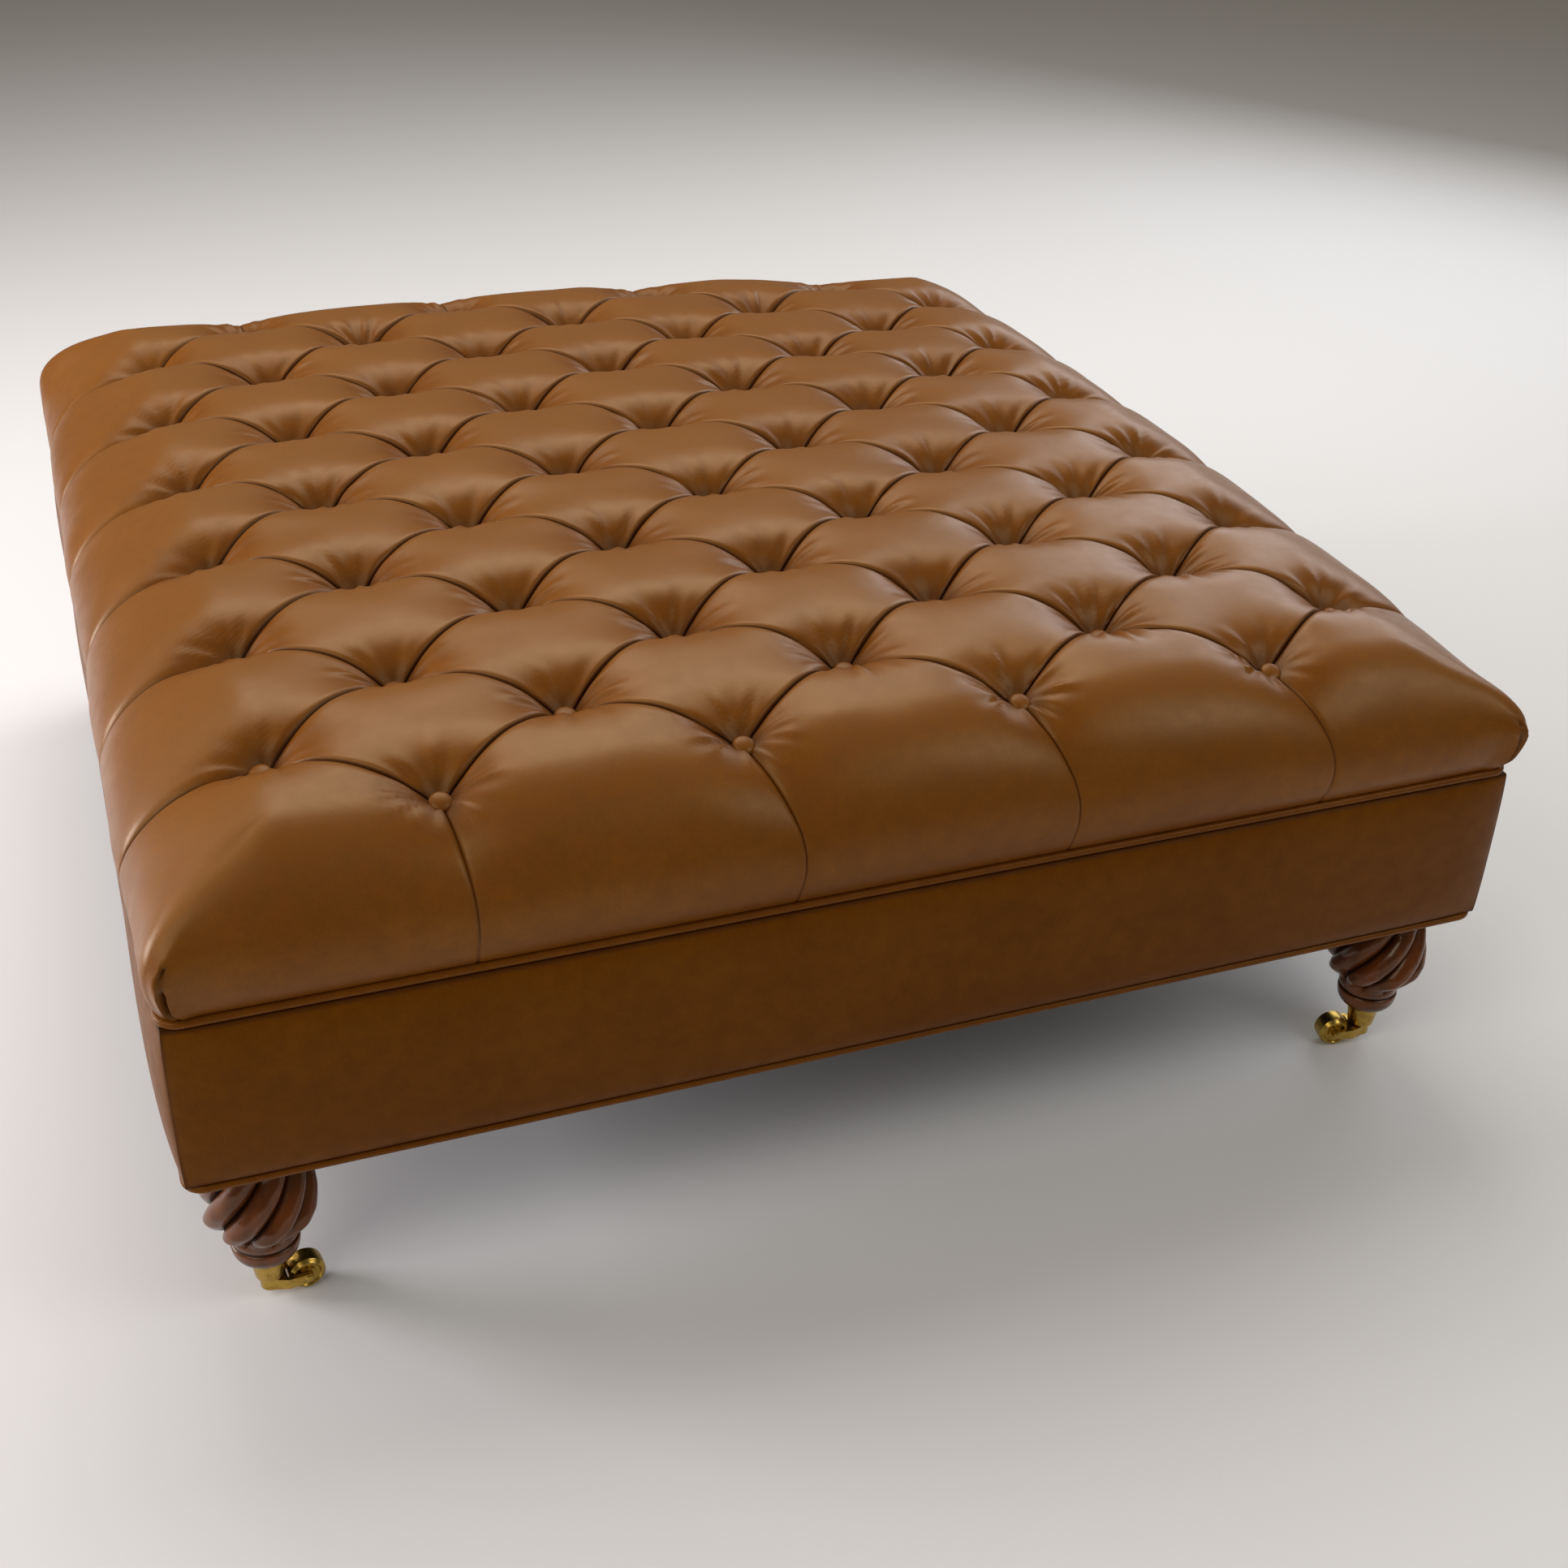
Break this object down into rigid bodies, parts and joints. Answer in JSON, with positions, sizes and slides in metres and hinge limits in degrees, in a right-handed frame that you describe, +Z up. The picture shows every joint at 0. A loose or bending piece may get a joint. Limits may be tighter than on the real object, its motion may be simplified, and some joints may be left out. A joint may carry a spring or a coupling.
{
  "type": "tufted ottoman",
  "caption": "Square footstool with a deep diamond-tufted leather top, a plain padded leather band between two cord welts, and spiral-carved wooden feet on brass cup castors.",
  "frame": {"origin": "on the floor, under the middle of the ottoman", "axes": "+Z up, +X to the right along the front, the front faces -Y"},
  "size_m": [1.245, 1.245, 0.5078],
  "materials": {
    "leather": "semi-gloss, fine grain, saddle brown",
    "polished_wood": "polished dark red-brown",
    "brass": "polished, slightly aged",
    "hardwood": "sawn",
    "plywood": "unfinished",
    "foam": "soft cut foam",
    "twine": "waxed twine",
    "lining": "black woven lining",
    "steel": "zinc plated"
  },
  "bodies": {
    "ottoman": {"rail_front": "hardwood", "band_front": "leather", "rail_back": "hardwood", "band_back": "leather", "rail_left": "hardwood", "band_left": "leather", "rail_right": "hardwood", "band_right": "leather", "cross_rail_left": "hardwood", "cross_rail_right": "hardwood", "corner_block_front_left": "hardwood", "corner_block_front_right": "hardwood", "corner_block_back_left": "hardwood", "corner_block_back_right": "hardwood", "frame_screws": "steel", "deck_board": "plywood", "deck_screws": "steel", "foam_core": "foam", "tufted_cover": "leather", "tuft_buttons": "leather", "button_twines": "twine", "twine_washers": "steel", "welt_top": "leather", "welt_bottom": "leather", "dust_cover": "lining", "dust_cover_tacks": "steel", "hanger_bolts": "steel", "foot_t_nuts": "steel", "cup_screws": "brass", "foot_front_left": "polished_wood", "castor_cup_front_left": "brass", "foot_front_right": "polished_wood", "castor_cup_front_right": "brass", "foot_back_left": "polished_wood", "castor_cup_back_left": "brass", "foot_back_right": "polished_wood", "castor_cup_back_right": "brass"},
    "castor_front_left": {"castor_horn_front_left": "brass", "swivel_rivet_front_left": "brass", "wheel_axle_front_left": "brass"},
    "wheel_front_left": {"castor_wheel_front_left": "brass"},
    "castor_front_right": {"castor_horn_front_right": "brass", "swivel_rivet_front_right": "brass", "wheel_axle_front_right": "brass"},
    "wheel_front_right": {"castor_wheel_front_right": "brass"},
    "castor_back_left": {"castor_horn_back_left": "brass", "swivel_rivet_back_left": "brass", "wheel_axle_back_left": "brass"},
    "wheel_back_left": {"castor_wheel_back_left": "brass"},
    "castor_back_right": {"castor_horn_back_right": "brass", "swivel_rivet_back_right": "brass", "wheel_axle_back_right": "brass"},
    "wheel_back_right": {"castor_wheel_back_right": "brass"}
  },
  "joints": [
    {"name": "castor_swivel_front_left", "type": "hinge", "parent": "ottoman", "child": "castor_front_left", "pos_m": [-0.5525, -0.5525, 0.0218], "axis": [0, 0, 1], "continuous": true},
    {"name": "wheel_roll_front_left", "type": "hinge", "parent": "castor_front_left", "child": "wheel_front_left", "pos_m": [-0.52266, -0.54936, 0.016], "axis": [-0.1045, 0.9945, 0], "continuous": true},
    {"name": "castor_swivel_front_right", "type": "hinge", "parent": "ottoman", "child": "castor_front_right", "pos_m": [0.5525, -0.5525, 0.0218], "axis": [0, 0, 1], "continuous": true},
    {"name": "wheel_roll_front_right", "type": "hinge", "parent": "castor_front_right", "child": "wheel_front_right", "pos_m": [0.52296, -0.54729, 0.016], "axis": [-0.1736, -0.9848, 0], "continuous": true},
    {"name": "castor_swivel_back_left", "type": "hinge", "parent": "ottoman", "child": "castor_back_left", "pos_m": [-0.5525, 0.5525, 0.0218], "axis": [0, 0, 1], "continuous": true},
    {"name": "wheel_roll_back_left", "type": "hinge", "parent": "castor_back_left", "child": "wheel_back_left", "pos_m": [-0.52792, 0.56971, 0.016], "axis": [-0.5736, 0.8192, 0], "continuous": true},
    {"name": "castor_swivel_back_right", "type": "hinge", "parent": "ottoman", "child": "castor_back_right", "pos_m": [0.5525, 0.5525, 0.0218], "axis": [0, 0, 1], "continuous": true},
    {"name": "wheel_roll_back_right", "type": "hinge", "parent": "castor_back_right", "child": "wheel_back_right", "pos_m": [0.52531, 0.56518, 0.016], "axis": [-0.4226, -0.9063, 0], "continuous": true}
  ]
}
